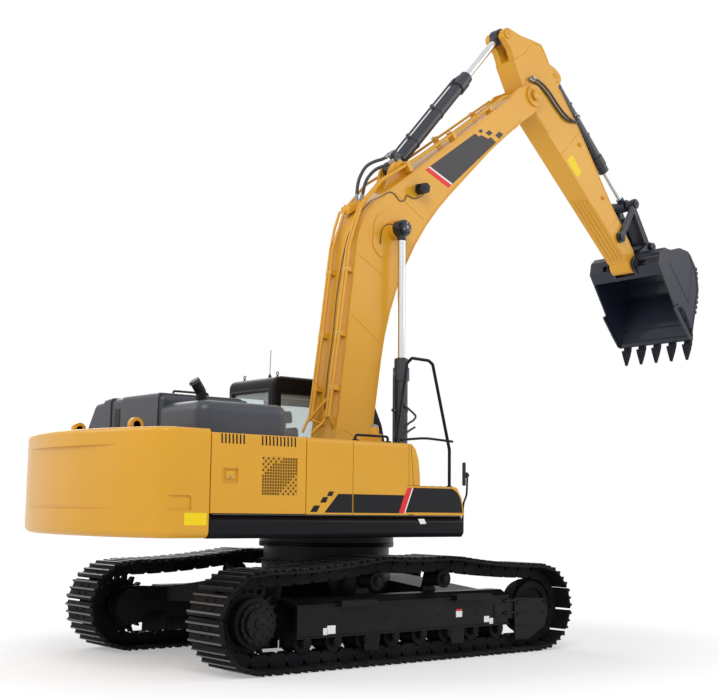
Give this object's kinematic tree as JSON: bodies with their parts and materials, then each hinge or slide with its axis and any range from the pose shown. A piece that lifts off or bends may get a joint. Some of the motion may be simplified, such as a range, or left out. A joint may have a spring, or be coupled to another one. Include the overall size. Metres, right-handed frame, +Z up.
{
  "type": "crawler excavator",
  "caption": "Tracked hydraulic excavator with cab, rear counterweight, cranked boom, arm and toothed bucket, all hinged as on the real machine",
  "frame": {"origin": "on the slewing axis at ground level", "axes": "+X forward towards the bucket, +Y to the left where the cab stands, +Z up"},
  "size_m": [10.0876, 3.19, 8.3306],
  "materials": {
    "yellow_paint": "smooth glossy enamel in warm construction yellow",
    "black_paint": "satin black enamel",
    "track_steel": "forged and cast track parts in dull black",
    "pin_steel": "ground pin ends",
    "engine_iron": "cast engine block, hidden in its bay",
    "hood_plastic": "moulded black hood with a soft sheen",
    "trim_plastic": "moulded black plastic",
    "cab_glass": "tinted safety glass",
    "seat_fabric": "dark woven seat cloth",
    "chrome_rod": "hard chrome",
    "bucket_steel": "black enamel on thick plate",
    "tooth_steel": "cast teeth in black"
  },
  "bodies": {
    "undercarriage": {"carbody": "black_paint", "track_frame_left": "black_paint", "track_frame_right": "black_paint", "track_left": "track_steel", "track_right": "track_steel", "sprockets": "track_steel", "final_drives": "black_paint", "idlers": "track_steel", "carrier_rollers": "track_steel", "bottom_rollers": "track_steel", "slew_ring_lower": "black_paint"},
    "upper": {"slew_ring_upper": "black_paint", "upper_deck": "black_paint", "deck_pins": "pin_steel", "side_skirts": "black_paint", "counterweight": "yellow_paint", "lifting_eyes": "yellow_paint", "engine": "engine_iron", "hydraulic_tank": "yellow_paint", "fuel_tank": "yellow_paint", "toolbox": "black_paint", "engine_bay_frame": "yellow_paint", "door_pivot_seats": "black_paint", "valve_cover": "black_paint", "right_hood": "hood_plastic", "exhaust_stack": "black_paint", "cab_shell": "black_paint", "cab_glass": "cab_glass", "operator_seat": "seat_fabric", "seat_consoles": "trim_plastic", "handrails": "black_paint", "right_mirror": "trim_plastic"},
    "pump_door": {"pump_door": "yellow_paint"},
    "left_rear_door": {"left_rear_door": "yellow_paint"},
    "left_front_door": {"left_front_door": "yellow_paint"},
    "engine_hood": {"engine_hood": "hood_plastic"},
    "cab_door": {"cab_door": "black_paint", "cab_door_glass": "cab_glass"},
    "boom": {"boom": "yellow_paint", "boom_pins": "pin_steel", "boom_pipes": "yellow_paint", "boom_lamp": "trim_plastic"},
    "boom_barrels": {"boom_cylinder_barrels": "black_paint"},
    "boom_rods": {"boom_cylinder_rods": "chrome_rod", "boom_cylinder_rod_eyes": "black_paint"},
    "arm_barrel": {"arm_cylinder_barrel": "black_paint"},
    "arm_rod": {"arm_cylinder_rod": "chrome_rod", "arm_cylinder_rod_eye": "black_paint"},
    "arm": {"arm": "yellow_paint", "arm_pins": "pin_steel"},
    "bucket_barrel": {"bucket_cylinder_barrel": "black_paint"},
    "bucket_rod": {"bucket_cylinder_rod": "chrome_rod", "bucket_cylinder_rod_eye": "black_paint"},
    "rockers": {"rocker_links": "black_paint"},
    "h_link": {"h_link": "black_paint"},
    "bucket": {"bucket": "bucket_steel", "bucket_pin": "pin_steel", "bucket_teeth": "tooth_steel"}
  },
  "joints": [
    {"name": "slew", "type": "hinge", "parent": "undercarriage", "child": "upper", "pos_m": [0, 0, 1.18], "axis": [0, 0, 1], "continuous": true},
    {"name": "boom_lift", "type": "hinge", "parent": "upper", "child": "boom", "pos_m": [0.095, 0, 2.12], "axis": [0, -1, 0], "range_deg": [-97, 7.5]},
    {"name": "arm_curl", "type": "hinge", "parent": "boom", "child": "arm", "pos_m": [3.40517, 0, 7.42026], "axis": [0, 1, 0], "range_deg": [-44.5, 59]},
    {"name": "bucket_curl", "type": "hinge", "parent": "arm", "child": "bucket", "pos_m": [5.66993, 0, 5.32549], "axis": [0, 1, 0], "range_deg": [-50, 105]},
    {"name": "boom_barrels_swing", "type": "hinge", "parent": "upper", "child": "boom_barrels", "pos_m": [0.815, 0, 1.56], "axis": [0, -1, 0], "range_deg": [-97.54, 8.46]},
    {"name": "boom_rods_slide", "type": "slide", "parent": "boom_barrels", "child": "boom_rods", "axis": [-0.0043, 0, 1], "range_m": [-1.4117, 0.1128]},
    {"name": "arm_barrel_swing", "type": "hinge", "parent": "boom", "child": "arm_barrel", "pos_m": [0.97997, 0, 5.94965], "axis": [0, 1, 0], "range_deg": [-6.6, 8.42]},
    {"name": "arm_rod_slide", "type": "slide", "parent": "arm_barrel", "child": "arm_rod", "axis": [0.6516, 0, 0.7586], "range_m": [-0.6023, 0.7973]},
    {"name": "bucket_barrel_swing", "type": "hinge", "parent": "arm", "child": "bucket_barrel", "pos_m": [4.03015, 0, 7.87063], "axis": [0, 1, 0], "range_deg": [-1.88, 2.85]},
    {"name": "bucket_rod_slide", "type": "slide", "parent": "bucket_barrel", "child": "bucket_rod", "axis": [0.7157, 0, -0.6985], "range_m": [-0.3866, 0.8074]},
    {"name": "rocker_swing", "type": "hinge", "parent": "arm", "child": "rockers", "pos_m": [5.34506, 0, 5.69], "axis": [0, 1, 0], "range_deg": [-37.07, 76.74]},
    {"name": "h_link_swing", "type": "hinge", "parent": "bucket", "child": "h_link", "pos_m": [6.04504, 0, 5.64092], "axis": [0, 1, 0], "range_deg": [-73.45, 35.5]},
    {"name": "pump_door_hinge", "type": "hinge", "parent": "upper", "child": "pump_door", "pos_m": [-1.462, -1.482, 1.95], "axis": [0, 0, 1], "range_deg": [0, 100]},
    {"name": "left_rear_door_hinge", "type": "hinge", "parent": "upper", "child": "left_rear_door", "pos_m": [-2.588, 1.482, 1.95], "axis": [0, 0, 1], "range_deg": [0, 100]},
    {"name": "left_front_door_hinge", "type": "hinge", "parent": "upper", "child": "left_front_door", "pos_m": [-1.544, 1.482, 1.95], "axis": [0, 0, 1], "range_deg": [0, 90]},
    {"name": "engine_hood_hinge", "type": "hinge", "parent": "upper", "child": "engine_hood", "pos_m": [-1.458, 0.35, 2.362], "axis": [0, 1, 0], "range_deg": [0, 60]},
    {"name": "cab_door_hinge", "type": "hinge", "parent": "upper", "child": "cab_door", "pos_m": [0.195, 1.504, 2.3], "axis": [0, 0, 1], "range_deg": [0, 165]}
  ],
  "couplings": [
    {"joint": "boom_barrels_swing", "follows": "boom_lift", "ratio": 0.9953},
    {"joint": "boom_rods_slide", "follows": "boom_lift", "m_per_rad": 0.8315},
    {"joint": "arm_barrel_swing", "follows": "arm_curl", "ratio": 0.1258},
    {"joint": "arm_rod_slide", "follows": "arm_curl", "m_per_rad": 0.7704},
    {"joint": "bucket_barrel_swing", "follows": "bucket_curl", "ratio": 0.0176},
    {"joint": "bucket_rod_slide", "follows": "bucket_curl", "m_per_rad": 0.4384},
    {"joint": "rocker_swing", "follows": "bucket_curl", "ratio": 0.7213},
    {"joint": "h_link_swing", "follows": "bucket_curl", "ratio": -0.69}
  ]
}
